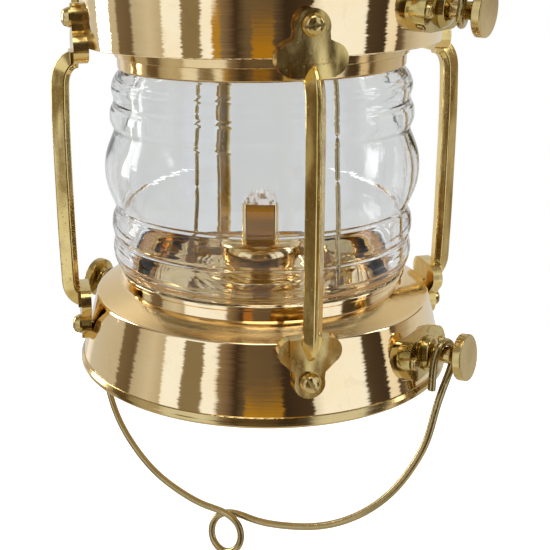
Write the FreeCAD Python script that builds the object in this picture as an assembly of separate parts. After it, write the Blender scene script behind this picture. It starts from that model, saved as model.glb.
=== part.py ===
import FreeCAD, Part
import math
import os

os.makedirs("parts", exist_ok=True)

# A brass ship's oil lantern that hangs from the eye of its top wire bail.
# Millimetres. +Z is up, +X runs along both trunnion axes, -Y is the front.
# Heights in this file are counted from the underside of the foot rim, and
# every solid is lowered by HANG_Z at export, so the origin is the centre of
# the hanging eye.

# bails, their trunnions and the hanging eyes
WIRE_R = 1.6
TRUNNION_LOW_Z = 16.0
TRUNNION_HIGH_Z = 158.6
LOW_TILT = 6.0
HIGH_TILT = -3.0
BOSS_SEAT_R = 79.0
BOSS_FACE_R = 82.6
NECK_R = 3.5
NECK_AT = 90.0
KNOB_R = 9.75
KNOB_FACE_AT = 100.4
LOOP_R = 5.5
BAIL_DROP = 95.0
EYE_R = 8.7
EYE_DROP = BAIL_DROP + EYE_R + 0.5
LOW_BAIL_LEAN = 17.0
LOW_AXIS_Z = TRUNNION_LOW_Z + (NECK_AT - BOSS_SEAT_R) * math.tan(math.radians(LOW_TILT))
HIGH_AXIS_Z = TRUNNION_HIGH_Z + (NECK_AT - BOSS_SEAT_R) * math.tan(math.radians(HIGH_TILT))
HANG_Z = HIGH_AXIS_Z + EYE_DROP

# sheet brass of the two drums
SHEET = 1.2
RIM_R = 83.9
RIM_H = 4.6
WALL_FOOT_R = 82.5
WALL_TOP_R = 75.4
WALL_TOP_Z = 32.4
SHOULDER_IN_R = 63.7
SHOULDER_IN_Z = 37.6
NECK_TOP_Z = 44.3
UPPER_FOOT_Z = 143.6
UPPER_FOOT_R = 76.4
UPPER_TOP_Z = 171.5
UPPER_TOP_R = 78.0

# glass lens: valleys and crests of its ribs, outside and inside
GASKET_H = 1.0
GASKET_Z = 41.0
LENS_FOOT_Z = GASKET_Z + GASKET_H
LENS_TOP_Z = 138.0
COLLAR_FOOT_Z = 133.2
COLLAR_STEP_Z = 138.6
OUTER_RIBS = [(64.0, 44.8), (66.8, 51.8), (65.8, 58.6), (67.0, 65.0), (64.3, 72.4), (69.4, 89.8),
              (64.2, 106.3), (66.5, 113.0), (64.1, 119.6), (65.3, 126.0), (61.8, 132.2)]
INNER_RIBS = [(59.8, 45.4), (61.2, 51.8), (60.9, 58.6), (61.8, 65.0), (61.2, 72.4), (64.4, 89.8),
              (61.1, 106.3), (61.6, 113.0), (60.4, 119.6), (60.5, 126.0), (58.4, 132.4)]

# guard brackets and their screws
GUARD_ANGLES = {"front": -45.0, "right": 45.0, "rear": 135.0, "left": 225.0}
FOOT_BACK_R = 79.0
FOOT_FRONT_R = 83.4
TOP_FOOT_BACK_R = 74.0
TOP_FOOT_FRONT_R = 81.6
LEDGE_PROUD = 1.2
LEDGE_HALF = 8.4
LOW_SCREW_Z = 19.2
HIGH_SCREW_Z = 156.0
SCREW_R = 4.3
SCREW_SHANK_R = 1.7
TRUNNION_SHANK_R = 2.5
RIVET_SHANK_R = 1.5
RIVET_Y = 14.6

# oil lamp: turned about the lantern's axis so its wick faces forward
LAMP_TURN = 31.0
FONT_R = 54.0
FONT_FOOT_Z = 3.9
FONT_TOP_Z = 38.6
FILLER_X = 36.0
FILLER_Y = 6.0
FILLER_BORE_R = 4.6
BURNER_R = 18.8
BURNER_TOP_Z = 51.8
DOME_FOOT_Z = 43.2
TUBE_W = 16.4
TUBE_D = 5.0
TUBE_TOP_Z = 70.4
WICK_W = 14.4
WICK_D = 2.2
WICK_TOP_Z = 74.0
SHAFT_R = 1.0
SHAFT_Y = -5.2
SHAFT_Z = 46.5
WHEEL_R = 3.6
RUNNING_GAP = 0.08
HANDLE_TURN = -52.0
HANDLE_PIVOT_Z = 42.5
HANDLE_WIRE_R = 1.0

# lid
LID_GAP = 0.3
LID_TURN = 26.0
LID_Z = 175.5 + LID_GAP
CHIMNEY_R = 33.0
CHIMNEY_Z = 190.6
CHIMNEY_TOP_Z = 213.0


def vec(x, y, z):
    return FreeCAD.Vector(x, y, z)


def rounded(points):
    """Closed wire in the XZ plane; each corner is (r, z) or (r, z, fillet radius)."""
    corners = []
    count = len(points)
    for i in range(count):
        here = vec(points[i][0], 0, points[i][1])
        fillet = points[i][2] if len(points[i]) > 2 else 0.0
        if fillet <= 0:
            corners.append((here, here, here))
            continue
        back = vec(points[i - 1][0], 0, points[i - 1][1]).sub(here).normalize()
        ahead = vec(points[(i + 1) % count][0], 0, points[(i + 1) % count][1]).sub(here).normalize()
        half = math.acos(max(-1.0, min(1.0, back.dot(ahead)))) / 2
        reach = fillet / math.tan(half)
        middle = back.add(ahead).normalize()
        depth = fillet / math.sin(half) - fillet
        start = here.add(back.multiply(reach))
        end = here.add(ahead.multiply(reach))
        corners.append((start, here.add(middle.multiply(depth)), end))
    edges = []
    for i in range(count):
        start, mid, end = corners[i]
        if start.distanceToPoint(end) > 1e-6:
            edges.append(Part.Arc(start, mid, end).toShape())
        after = corners[(i + 1) % count][0]
        if end.distanceToPoint(after) > 1e-6:
            edges.append(Part.LineSegment(end, after).toShape())
    return Part.Wire(edges)


def spun(points):
    """A turned or spun piece: its half section swept round the lantern's axis."""
    return Part.Face(rounded(points)).revolve(vec(0, 0, 0), vec(0, 0, 1), 360)


def turned(shape, degrees):
    copy = shape.copy()
    copy.rotate(vec(0, 0, 0), vec(0, 0, 1), degrees)
    return copy


def rod(start, end, radius):
    along = end.sub(start)
    return Part.makeCylinder(radius, along.Length, start, along)


def box(x0, x1, y0, y1, z0, z1):
    return Part.makeBox(x1 - x0, y1 - y0, z1 - z0, vec(x0, y0, z0))


def swept_wire(points, radius):
    """A bent round wire along a smooth curve through the points."""
    curve = Part.BSplineCurve()
    curve.interpolate(points)
    spine = Part.Wire([curve.toShape()])
    start = points[0]
    along = curve.tangent(curve.FirstParameter)[0]
    section = Part.Wire([Part.makeCircle(radius, start, along)])
    return spine.makePipeShell([section], True, True)


def lathe_x(points):
    """A turned piece whose axis is X: corners are (distance from axis, x)."""
    wire = rounded([(x, r) + tuple(rest) for r, x, *rest in points])
    return Part.Face(wire).revolve(vec(0, 0, 0), vec(1, 0, 0), 360)


# --- foot, lower drum and upper drum -------------------------------------

def drilled(drum, screw_z, tilt, trunnion_z):
    """Holes in a drum's wall for the bracket screws, the trunnions and their rivets."""
    for angle in GUARD_ANGLES.values():
        way = rod(vec(60.0, 0, screw_z), vec(92.0, 0, screw_z), SCREW_SHANK_R)
        drum = drum.cut(turned(way, angle))
    for angle in (0, 180):
        for y, radius in ((0.0, TRUNNION_SHANK_R), (-RIVET_Y, RIVET_SHANK_R), (RIVET_Y, RIVET_SHANK_R)):
            way = tilted(rod(vec(60.0, y, 0), vec(92.0, y, 0), radius), tilt, trunnion_z)
            drum = drum.cut(turned(way, angle))
    return drum


def make_foot_rim():
    return spun([(78.8, 0.0), (RIM_R - 1.0, 0.0, 0.5), (RIM_R, 1.0, 0.6), (RIM_R, 2.6, 1.0),
                 (WALL_FOOT_R + 0.4, RIM_H, 0.6), (78.8, RIM_H)])


def lower_drum_outer(inset):
    """Outer line of the lower drum, or a line parallel to it inside the metal."""
    return [(WALL_FOOT_R - inset, RIM_H), (WALL_TOP_R - inset, WALL_TOP_Z - inset, 1.6),
            (SHOULDER_IN_R, SHOULDER_IN_Z - inset)]


def make_lower_drum():
    outer = lower_drum_outer(0.0)
    inner = lower_drum_outer(SHEET)
    inner[1] = (inner[1][0], inner[1][1], 0.8)
    return drilled(spun(outer + inner[::-1]), LOW_SCREW_Z, LOW_TILT, TRUNNION_LOW_Z)


def make_floor_plate():
    plate = spun([(0.0, 2.3), (81.0 - 2.3, 2.3), (81.0 - 2.3, 3.5), (0.0, 3.5)])
    for angle in (45, 135, 225, 315):
        hole = Part.makeCylinder(1.6, 4.0, vec(74.0, 0, 0))
        plate = plate.cut(turned(hole, angle))
    for angle in range(0, 360, 60):
        vent = Part.makeCylinder(3.0, 4.0, vec(64.0, 0, 0))
        plate = plate.cut(turned(vent, angle))
    return plate


def make_floor_screws():
    screw = spun([(0.0, 0.9), (2.6, 0.9, 0.3), (2.9, 2.3), (1.5, 2.3), (1.5, 6.0), (0.0, 6.0)])
    screw = screw.cut(box(-3.2, 3.2, -0.35, 0.35, 0.0, 1.5))
    screw.translate(vec(74.0, 0, 0))
    return Part.makeCompound([turned(screw, angle) for angle in (45, 135, 225, 315)])


def make_floor_lugs():
    """Four lugs inside the drum that the floor plate screws into."""
    lug = box(70.5, 77.6, -4.0, 4.0, 3.5, 9.0)
    lug = lug.cut(Part.makeCylinder(1.5, 4.0, vec(74.0, 0, 3.0)))
    lug = lug.fuse(box(76.0, 84.0, -4.0, 4.0, 5.0, 9.0))
    keep = spun([(0.0, 0.0), (WALL_FOOT_R - SHEET, RIM_H), (WALL_TOP_R - SHEET, 30.0), (0.0, 30.0)])
    lug = lug.common(turned(keep, 7.0))
    return Part.makeCompound([turned(lug, angle) for angle in (45, 135, 225, 315)])


def make_neck_ring():
    seat = GASKET_Z
    return spun([(60.4, SHOULDER_IN_Z - 3.4), (SHOULDER_IN_R, SHOULDER_IN_Z - 3.4),
                 (SHOULDER_IN_R, NECK_TOP_Z - 2.7, 0.3), (64.5, NECK_TOP_Z - 2.1, 0.3),
                 (64.5, NECK_TOP_Z - 0.6, 0.5), (63.2, NECK_TOP_Z), (62.8, NECK_TOP_Z - 0.3), (62.8, seat),
                 (57.6, seat), (57.6, seat - 1.4), (60.4, seat - 2.4)])


def make_lower_gasket():
    return spun([(57.8, GASKET_Z), (62.6, GASKET_Z), (62.6, LENS_FOOT_Z), (57.8, LENS_FOOT_Z)])


def make_upper_gasket():
    top = LENS_TOP_Z + GASKET_H
    return spun([(57.4, LENS_TOP_Z), (60.6, LENS_TOP_Z), (60.6, top), (57.4, top)])


def rib_curve(ribs):
    """Smooth wavy line: an arc from valley to valley through each crest, valleys eased."""
    points = [vec(ribs[0][0], 0, ribs[0][1])]
    for i in range(0, len(ribs) - 2, 2):
        start, crest, end = [vec(r, 0, z) for r, z in ribs[i:i + 3]]
        arc = Part.Arc(start, crest, end)
        first, last = arc.FirstParameter, arc.LastParameter
        for share in (0.09, 0.3, 0.5, 0.7, 0.91):
            points.append(arc.value(first + share * (last - first)))
    points.append(vec(ribs[-1][0], 0, ribs[-1][1]))
    curve = Part.BSplineCurve()
    curve.interpolate(points)
    return curve.toShape()


def make_lens():
    out_low, out_high = OUTER_RIBS[0], OUTER_RIBS[-1]
    in_low, in_high = INNER_RIBS[0], INNER_RIBS[-1]
    low = [out_low, (62.5, NECK_TOP_Z), (62.5, LENS_FOOT_Z), (58.0, LENS_FOOT_Z), in_low]
    high = [out_high, (60.5, out_high[1] + 0.7), (60.5, LENS_TOP_Z), (57.4, LENS_TOP_Z), in_high]
    edges = [rib_curve(OUTER_RIBS), rib_curve(INNER_RIBS)]
    for run in (low, high):
        for a, b in zip(run, run[1:]):
            edges.append(Part.LineSegment(vec(a[0], 0, a[1]), vec(b[0], 0, b[1])).toShape())
    wire = Part.Wire(Part.__sortEdges__(edges))
    return Part.Face(wire).revolve(vec(0, 0, 0), vec(0, 0, 1), 360)


def make_collar_lower():
    foot = COLLAR_FOOT_Z
    return spun([(60.8, foot), (61.9, foot, 0.3), (62.3, foot + 0.7, 0.3), (62.5, COLLAR_STEP_Z),
                 (60.8, COLLAR_STEP_Z)])


def make_collar_upper():
    seat = LENS_TOP_Z + GASKET_H
    return spun([(57.2, seat), (60.8, seat), (60.8, COLLAR_STEP_Z), (63.4, COLLAR_STEP_Z, 0.4),
                 (64.4, UPPER_FOOT_Z), (63.0, UPPER_FOOT_Z), (62.2, seat + SHEET), (57.2, seat + SHEET)])


def make_soffit():
    return spun([(61.0, UPPER_FOOT_Z), (74.6, UPPER_FOOT_Z), (74.6, UPPER_FOOT_Z + SHEET),
                 (61.0, UPPER_FOOT_Z + SHEET)])


def make_upper_drum():
    drum = spun([(74.6, UPPER_FOOT_Z), (UPPER_FOOT_R, UPPER_FOOT_Z, 0.5), (UPPER_TOP_R, UPPER_TOP_Z),
                 (UPPER_TOP_R - SHEET, UPPER_TOP_Z), (UPPER_FOOT_R - SHEET, UPPER_FOOT_Z + SHEET),
                 (74.6, UPPER_FOOT_Z + SHEET)])
    return drilled(drum, HIGH_SCREW_Z, HIGH_TILT, TRUNNION_HIGH_Z)


def make_top_rim():
    """Bead round the mouth of the upper drum, with the ledge that holds the lid's lugs."""
    ring = spun([(72.4, UPPER_TOP_Z), (79.6, UPPER_TOP_Z, 0.6), (80.2, 172.6, 0.6), (80.2, 174.4, 0.9),
                 (79.0, 175.5, 0.4), (74.6, 175.5), (74.6, 173.4), (72.4, 173.4)])
    for angle in (0, 120, 240):
        notch = box(71.0, 74.6, -5.0, 5.0, 170.0, 174.0)
        ring = ring.cut(turned(notch, angle + LID_TURN))
        for stop_angle in (-5.4, LID_TURN + 5.4):
            stop = box(72.6, 75.4, -1.3, 1.3, 169.4, UPPER_TOP_Z)
            ring = ring.fuse(turned(stop, angle + stop_angle))
    return ring.removeSplitter()


# --- guard brackets -------------------------------------------------------

def foot_outline(tip, lobe, neck_z, back, front):
    """Three-lobed plate from radius back to front; tip is (z, r) and lobe is (y, z, r)."""
    tip_c, tip_r = tip
    lobe_y, lobe_z, lobe_r = lobe
    sign = 1.0 if lobe_z > tip_c else -1.0
    deep = front - back
    discs = [(0.0, tip_c, tip_r), (lobe_y, lobe_z, lobe_r), (-lobe_y, lobe_z, lobe_r)]
    shape = None
    for y, z, r in discs:
        disc = Part.makeCylinder(r, deep, vec(back, y, z), vec(1, 0, 0))
        shape = disc if shape is None else shape.fuse(disc)
    flank_y = lobe_y + 0.7 * lobe_r
    flank_z = lobe_z - sign * 0.7 * lobe_r
    web = [(-0.96 * tip_r, tip_c + sign * 1.6), (-tip_r, tip_c + sign * 4.6), (-flank_y, flank_z),
           (-lobe_y, lobe_z + sign * lobe_r), (-3.6, neck_z), (3.6, neck_z),
           (lobe_y, lobe_z + sign * lobe_r), (flank_y, flank_z),
           (tip_r, tip_c + sign * 4.6), (0.96 * tip_r, tip_c + sign * 1.6)]
    corners = [vec(back, y, z) for y, z in web]
    face = Part.Face(Part.makePolygon(corners + corners[:1]))
    return shape.fuse(face.extrude(vec(deep, 0, 0))).removeSplitter()


def make_foot(tip, lobe, neck_z, ledge_z, back, front):
    """Foot plate with a proud shoulder, from the ledge to the neck, where the bar joins it."""
    plate = foot_outline(tip, lobe, neck_z, back, front)
    proud = foot_outline(tip, lobe, neck_z, back, front + LEDGE_PROUD)
    low, high = sorted((ledge_z, neck_z))
    shoulder = box(front - 1.0, front + LEDGE_PROUD, -LEDGE_HALF, LEDGE_HALF, low, high)
    return plate.fuse(proud.common(shoulder))


def make_guard_bar():
    """Ridged bar that stands off the lens between the two feet."""
    path = [(79.4, 31.6), (83.6, 32.3), (86.5, 36.0), (87.3, 42.0), (87.6, 55.0), (87.8, 75.0),
            (87.9, 95.0), (87.8, 112.0), (87.4, 126.0), (86.3, 133.2), (83.0, 137.6), (79.0, 138.6)]
    points = [vec(r, 0, z) for r, z in path]
    curve = Part.BSplineCurve()
    curve.interpolate(points)
    spine = Part.Wire([curve.toShape()])
    along = curve.tangent(curve.FirstParameter)[0]
    outward = vec(along.z, 0, -along.x)
    section = [(-3.0, 2.0), (-1.4, 3.0), (3.0, 0.35), (3.0, -0.35), (-1.4, -3.0), (-3.0, -2.0)]
    corners = []
    for depth, side in section:
        corners.append(points[0].add(outward * depth).add(vec(0, side, 0)))
    inner = Part.makePolygon(corners + corners[:1])
    skin = inner.makeOffset2D(0.8)
    pipe = Part.BRepOffsetAPI.MakePipeShell(spine)
    pipe.setBiNormalMode(vec(0, 1, 0))
    pipe.add(Part.Wire(skin.Edges))
    pipe.build()
    pipe.makeSolid()
    return pipe.shape()


def drum_core(radii, heights):
    """Solid cone that fills the inside of a drum out to its wall."""
    return Part.makeCone(radii[0], radii[1], heights[1] - heights[0], vec(0, 0, heights[0]))


def make_guard():
    low = make_foot((18.5, 6.2), (6.9, 31.9, 5.8), 37.9, 30.0, FOOT_BACK_R, FOOT_FRONT_R)
    high = make_foot((155.3, 6.6), (7.0, 143.6, 6.3), 136.8, 142.2, TOP_FOOT_BACK_R, TOP_FOOT_FRONT_R)
    shape = low.fuse(high).fuse(make_guard_bar())
    slope = (WALL_FOOT_R - WALL_TOP_R) / (WALL_TOP_Z - RIM_H)
    top = 42.0
    low_core = drum_core((WALL_FOOT_R, WALL_FOOT_R - slope * (top - RIM_H)), (RIM_H, top))
    rise = (UPPER_TOP_R - UPPER_FOOT_R) / (UPPER_TOP_Z - UPPER_FOOT_Z)
    foot = 130.0
    high_core = drum_core((UPPER_FOOT_R - rise * (UPPER_FOOT_Z - foot), UPPER_TOP_R), (foot, UPPER_TOP_Z))
    shape = shape.cut(low_core).cut(high_core)
    for z in (LOW_SCREW_Z, HIGH_SCREW_Z):
        shape = shape.cut(rod(vec(70.0, 0, z), vec(90.0, 0, z), SCREW_SHANK_R))
    return max(shape.Solids, key=lambda solid: solid.Volume)


def make_guard_screw(face_r, z, turn):
    """Slotted round-head screw through a foot, with its nut inside the drum."""
    shank_in = face_r - 11.5
    screw = lathe_x([(0.0, shank_in), (SCREW_SHANK_R, shank_in), (SCREW_SHANK_R, face_r), (SCREW_R, face_r),
                     (SCREW_R, face_r + 0.8, 0.4), (3.4, face_r + 3.0, 1.7), (1.5, face_r + 3.9, 2.0),
                     (0.0, face_r + 3.9)])
    slot = box(face_r + 1.9, face_r + 6.0, -6.0, 6.0, -0.55, 0.55)
    slot.rotate(vec(0, 0, 0), vec(1, 0, 0), turn)
    screw = screw.cut(slot)
    screw.translate(vec(0, 0, z))
    return screw


def make_guard_screws(face_r, z, turns):
    angles = list(GUARD_ANGLES.values())
    return Part.makeCompound([turned(make_guard_screw(face_r, z, turns[i]), angles[i]) for i in range(4)])


# --- trunnions and knobs --------------------------------------------------

def tilted(shape, tilt, z):
    """Lay a piece made along X on the drum wall's own slope, at height z."""
    copy = shape.copy()
    copy.rotate(vec(BOSS_SEAT_R, 0, 0), vec(0, 1, 0), -tilt)
    copy.translate(vec(0, 0, z))
    return copy


def make_boss(tilt, z, core):
    back = BOSS_SEAT_R - 6.0
    deep = BOSS_FACE_R - back
    plate = box(back, BOSS_FACE_R, -10.6, 10.6, -8.4, 8.4)
    for y in (-10.6, 10.6):
        plate = plate.fuse(Part.makeCylinder(8.4, deep, vec(back, y, 0), vec(1, 0, 0)))
    plate = plate.removeSplitter()
    dome = lathe_x([(0.0, BOSS_FACE_R - 2.0), (7.6, BOSS_FACE_R - 2.0), (7.6, BOSS_FACE_R + 0.6),
                    (6.6, BOSS_FACE_R + 2.4, 1.6), (4.2, BOSS_FACE_R + 3.5, 1.5),
                    (0.0, BOSS_FACE_R + 3.5)])
    boss = plate.fuse(dome)
    boss = boss.cut(rod(vec(back - 1, 0, 0), vec(BOSS_FACE_R + 8, 0, 0), TRUNNION_SHANK_R))
    for y in (-RIVET_Y, RIVET_Y):
        boss = boss.cut(rod(vec(back - 1, y, 0), vec(BOSS_FACE_R + 1, y, 0), RIVET_SHANK_R))
    boss = tilted(boss, tilt, z).cut(core)
    return max(boss.Solids, key=lambda solid: solid.Volume)


def make_knob(tilt, z):
    knob = lathe_x([(0.0, BOSS_SEAT_R - 5.0), (TRUNNION_SHANK_R, BOSS_SEAT_R - 5.0),
                    (TRUNNION_SHANK_R, BOSS_FACE_R + 3.5),
                    (NECK_R, BOSS_FACE_R + 3.5), (NECK_R, 93.8, 2.0), (5.4, 95.6, 3.0),
                    (KNOB_R, 96.8, 0.5), (KNOB_R, KNOB_FACE_AT, 0.6), (0.0, KNOB_FACE_AT)])
    return tilted(knob, tilt, z)


def make_rivets(tilt, z):
    solids = []
    for y in (-RIVET_Y, RIVET_Y):
        rivet = lathe_x([(0.0, BOSS_SEAT_R - 5.5), (RIVET_SHANK_R, BOSS_SEAT_R - 5.5),
                         (RIVET_SHANK_R, BOSS_FACE_R), (2.8, BOSS_FACE_R), (2.5, BOSS_FACE_R + 1.3, 0.8),
                         (1.0, BOSS_FACE_R + 1.9, 1.0), (0.0, BOSS_FACE_R + 1.9)])
        rivet.translate(vec(0, y, 0))
        solids.append(tilted(rivet, tilt, z))
    return solids


# --- wire bails -----------------------------------------------------------

def limb_points():
    """One limb of a bail: (distance out along X, distance from the trunnion axis)."""
    return [(89.8, 24.0), (88.3, 36.0), (84.4, 48.0), (78.2, 60.0), (69.2, 71.2), (57.6, 80.6),
            (43.6, 87.8), (28.0, 92.4)]


def make_bail():
    """A bail hanging down from an axis at the origin, closed by a pigtail eye."""
    pitch = 1.9
    right = []
    tail_x = 87.9
    right.append((tail_x, -3.2, 15.2))
    right.append((tail_x, -4.6, 9.0))
    for degrees in range(-8, 189, 28):
        angle = math.radians(degrees)
        share = (degrees + 8) / 196.0
        x = tail_x + 0.3 + 3.4 * share
        right.append((x, -LOOP_R * math.cos(angle), -LOOP_R * math.sin(angle)))
    right.append((91.3, 3.9, 8.8))
    right.append((90.7, 1.4, 15.6))
    for x, drop in limb_points():
        lean = pitch * max(0.0, (drop - 80.0) / 14.0)
        right.append((x, lean, drop))
    right.append((12.0, pitch, 94.6))
    left = [(-x, -y, drop) for x, y, drop in right]
    loop = []
    for degrees in range(70, -251, -32):
        angle = math.radians(degrees)
        share = (70 - degrees) / 320.0
        y = pitch * (1.0 - 2.0 * share)
        loop.append((-EYE_R * math.cos(angle), y, EYE_DROP - EYE_R * math.sin(angle)))
    path = right + loop + left[::-1]
    return swept_wire([vec(x, y, -drop) for x, y, drop in path], WIRE_R)


def make_lower_bail():
    bail = make_bail()
    bail.rotate(vec(0, 0, 0), vec(1, 0, 0), -LOW_BAIL_LEAN)
    bail.translate(vec(0, 0, LOW_AXIS_Z))
    return bail


def make_upper_bail():
    bail = make_bail()
    bail.rotate(vec(0, 0, 0), vec(1, 0, 0), 180)
    bail.translate(vec(0, 0, HIGH_AXIS_Z))
    return bail


# --- lid, chimney and cap -------------------------------------------------

def make_lid_cone():
    return spun([(68.0, LID_Z), (79.2, LID_Z, 0.5), (79.2, LID_Z + 1.8, 0.8), (76.6, LID_Z + 1.8, 0.6),
                 (71.0, LID_Z + 4.4, 3.0), (CHIMNEY_R, CHIMNEY_Z), (CHIMNEY_R - SHEET, CHIMNEY_Z),
                 (CHIMNEY_R - SHEET, CHIMNEY_Z - 1.0), (68.0, LID_Z + 2.0)])


def make_lid_skirt():
    """Short tube under the lid, with three lugs that turn in under the rim's ledge."""
    skirt = spun([(69.6, 168.6), (70.8, 168.6), (70.8, LID_Z), (69.6, LID_Z)])
    for angle in (0, 120, 240):
        lug = box(69.9, 73.6, -4.2, 4.2, 168.6, 171.0)
        lug = lug.common(Part.makeCylinder(73.4, 3.0, vec(0, 0, 168.3)))
        skirt = skirt.fuse(turned(lug, angle))
    return skirt.removeSplitter()


def make_chimney():
    return spun([(CHIMNEY_R - SHEET, CHIMNEY_Z), (CHIMNEY_R, CHIMNEY_Z), (CHIMNEY_R, CHIMNEY_TOP_Z),
                 (CHIMNEY_R - SHEET, CHIMNEY_TOP_Z)])


def vented(tube):
    for angle in range(0, 360, 30):
        hole = Part.makeCylinder(3.6, 8.0, vec(CHIMNEY_R - 4.0, 0, 202.5), vec(1, 0, 0))
        tube = tube.cut(turned(hole, angle))
    return tube


def make_chimney_band():
    """Bead in the corner between the lid's cone and the chimney."""
    fall = (CHIMNEY_Z - LID_Z - 4.4) / (71.0 - CHIMNEY_R)
    width = 2.2
    return spun([(CHIMNEY_R, CHIMNEY_Z), (CHIMNEY_R + width, CHIMNEY_Z - width * fall),
                 (CHIMNEY_R + width, 193.0, 0.8), (CHIMNEY_R, 193.6)])


def make_cap():
    return spun([(0.0, 228.0), (0.0, 229.2), (9.0, 228.6, 6.0), (25.0, 224.4, 14.0), (35.8, 217.2, 5.0),
                 (38.6, 211.6, 0.5), (37.4, 211.4, 0.4), (34.8, 215.4, 2.0),
                 (CHIMNEY_R - SHEET - 0.4, CHIMNEY_TOP_Z + 2.6), (24.0, 222.8, 10.0), (8.6, 227.4, 5.0)])


def make_cap_ring():
    """Ring that joins the chimney's top edge to the cap."""
    return spun([(CHIMNEY_R - SHEET, CHIMNEY_TOP_Z), (CHIMNEY_R, CHIMNEY_TOP_Z),
                 (CHIMNEY_R, CHIMNEY_TOP_Z + 2.4), (CHIMNEY_R - SHEET, CHIMNEY_TOP_Z + 2.4)])


def make_finial():
    return spun([(0.0, 229.2), (4.6, 229.0, 0.4), (4.6, 230.4, 0.6), (2.6, 231.4, 0.8), (2.8, 232.4, 0.6),
                 (5.2, 234.6, 1.8), (3.0, 237.4, 2.2), (0.0, 237.4)])


# --- oil lamp -------------------------------------------------------------

def make_cradle():
    """Shallow ring on the floor plate that centres the lamp."""
    ring = spun([(54.8, 3.5), (60.0, 3.5), (60.0, 4.7), (56.0, 4.7), (56.0, 11.0, 0.4), (54.8, 11.0, 0.4)])
    return ring


def make_font_body():
    return spun([(0.0, FONT_FOOT_Z), (FONT_R, FONT_FOOT_Z, 1.5), (FONT_R, 33.0), (FONT_R - 1.0, 33.0),
                 (FONT_R - 1.0, FONT_FOOT_Z + 1.0, 0.6), (0.0, FONT_FOOT_Z + 1.0)])


def make_font_top():
    dome = spun([(FONT_R - 1.0, 33.0), (FONT_R, 33.0), (FONT_R, 33.8, 0.6), (49.0, 36.6, 4.0),
                 (20.0, FONT_TOP_Z, 10.0), (12.6, FONT_TOP_Z), (12.6, FONT_TOP_Z - 1.0),
                 (20.0, FONT_TOP_Z - 1.0, 10.0), (48.6, 35.6, 4.0)])
    for bead_r, bead_z in ((24.2, 38.1), (46.0, 36.5)):
        dome = dome.fuse(Part.makeTorus(bead_r, 1.1, vec(0, 0, bead_z)))
    hole = Part.makeCylinder(FILLER_BORE_R, 10.0, vec(FILLER_X, FILLER_Y, 32.0))
    return dome.cut(hole)


def make_filler_neck():
    foot = vec(FILLER_X, FILLER_Y, 36.0)
    neck = Part.makeCylinder(5.6, 6.6, foot).fuse(Part.makeCylinder(8.4, 2.6, foot))
    neck = neck.cut(Part.makeCylinder(FILLER_BORE_R, 9.0, vec(FILLER_X, FILLER_Y, 35.0)))
    return neck.cut(make_font_fill()).removeSplitter()


def make_font_fill():
    """Everything under the top face of the font, to bed pieces on it."""
    return spun([(0.0, 0.0), (FONT_R, 0.0), (FONT_R, 33.8, 0.6), (49.0, 36.6, 4.0), (20.0, FONT_TOP_Z, 10.0),
                 (0.0, FONT_TOP_Z)])


def make_filler_cap():
    cap = Part.makeCylinder(7.4, 6.4, vec(0, 0, 39.0))
    cap = cap.cut(Part.makeCylinder(5.95, 3.95, vec(0, 0, 39.0)))
    rim = [edge for edge in cap.Edges if abs(edge.BoundBox.ZMin - 45.4) < 0.01]
    cap = cap.makeFillet(1.0, rim)
    for k in range(20):
        angle = 2 * math.pi * k / 20
        notch = Part.makeCylinder(0.5, 5.0, vec(7.6 * math.cos(angle), 7.6 * math.sin(angle), 39.0))
        cap = cap.cut(notch)
    cap.translate(vec(FILLER_X, FILLER_Y, 0))
    return cap


def make_burner_collar():
    return spun([(11.4, FONT_TOP_Z), (20.4, FONT_TOP_Z, 0.3), (20.4, 40.0, 0.6), (17.4, 40.2, 0.3),
                 (17.4, 41.6, 0.7), (14.4, 42.0, 0.4), (14.4, DOME_FOOT_Z), (11.4, DOME_FOOT_Z)])


def make_burner_dome():
    """Flat pressed drum with a full round edge; the wick tube stands in its top."""
    foot, top = DOME_FOOT_Z, BURNER_TOP_Z
    dome = spun([(11.4, foot), (15.4, foot, 0.6), (BURNER_R, foot + 2.0, 2.4), (BURNER_R, top - 1.4, 2.8),
                 (14.4, top, 1.5), (0.0, top), (0.0, top - 1.2), (14.2, top - 1.2, 0.8),
                 (BURNER_R - 1.2, top - 2.2, 1.6), (BURNER_R - 1.2, foot + 2.8, 1.4),
                 (15.0, foot + 1.2, 0.4), (11.4, foot + 1.2)])
    dome = dome.cut(box(-TUBE_W / 2, TUBE_W / 2, -TUBE_D / 2, TUBE_D / 2, 45.0, 56.0))
    shaft_way = rod(vec(-30.0, SHAFT_Y, SHAFT_Z), vec(30.0, SHAFT_Y, SHAFT_Z), SHAFT_R + RUNNING_GAP)
    return dome.cut(shaft_way)


def stadium(width, deep, z0, z1):
    """Upright flat bar with rounded ends, centred on the lamp's axis."""
    half = width / 2 - deep / 2
    shape = box(-half, half, -deep / 2, deep / 2, z0, z1)
    for x in (-half, half):
        shape = shape.fuse(Part.makeCylinder(deep / 2, z1 - z0, vec(x, 0, z0)))
    return shape.removeSplitter()


def make_wick_tube():
    tube = stadium(TUBE_W, TUBE_D - 0.8, 43.8, TUBE_TOP_Z)
    foot = box(-TUBE_W / 2, TUBE_W / 2, -TUBE_D / 2, TUBE_D / 2, 44.6, BURNER_TOP_Z)
    sleeve = stadium(TUBE_W + 1.0, TUBE_D + 0.4, BURNER_TOP_Z, 58.6)
    tube = tube.fuse(foot).fuse(sleeve).removeSplitter()
    bore = box(-WICK_W / 2 - 0.3, WICK_W / 2 + 0.3, -WICK_D / 2 - 0.3, WICK_D / 2 + 0.3, 40.0, 75.0)
    window = box(-7.2, 7.2, -4.0, 0.0, 42.0, 50.4)
    return tube.cut(bore).cut(window)


def make_wick():
    return box(-WICK_W / 2, WICK_W / 2, -WICK_D / 2, WICK_D / 2, 12.0, WICK_TOP_Z)


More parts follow.
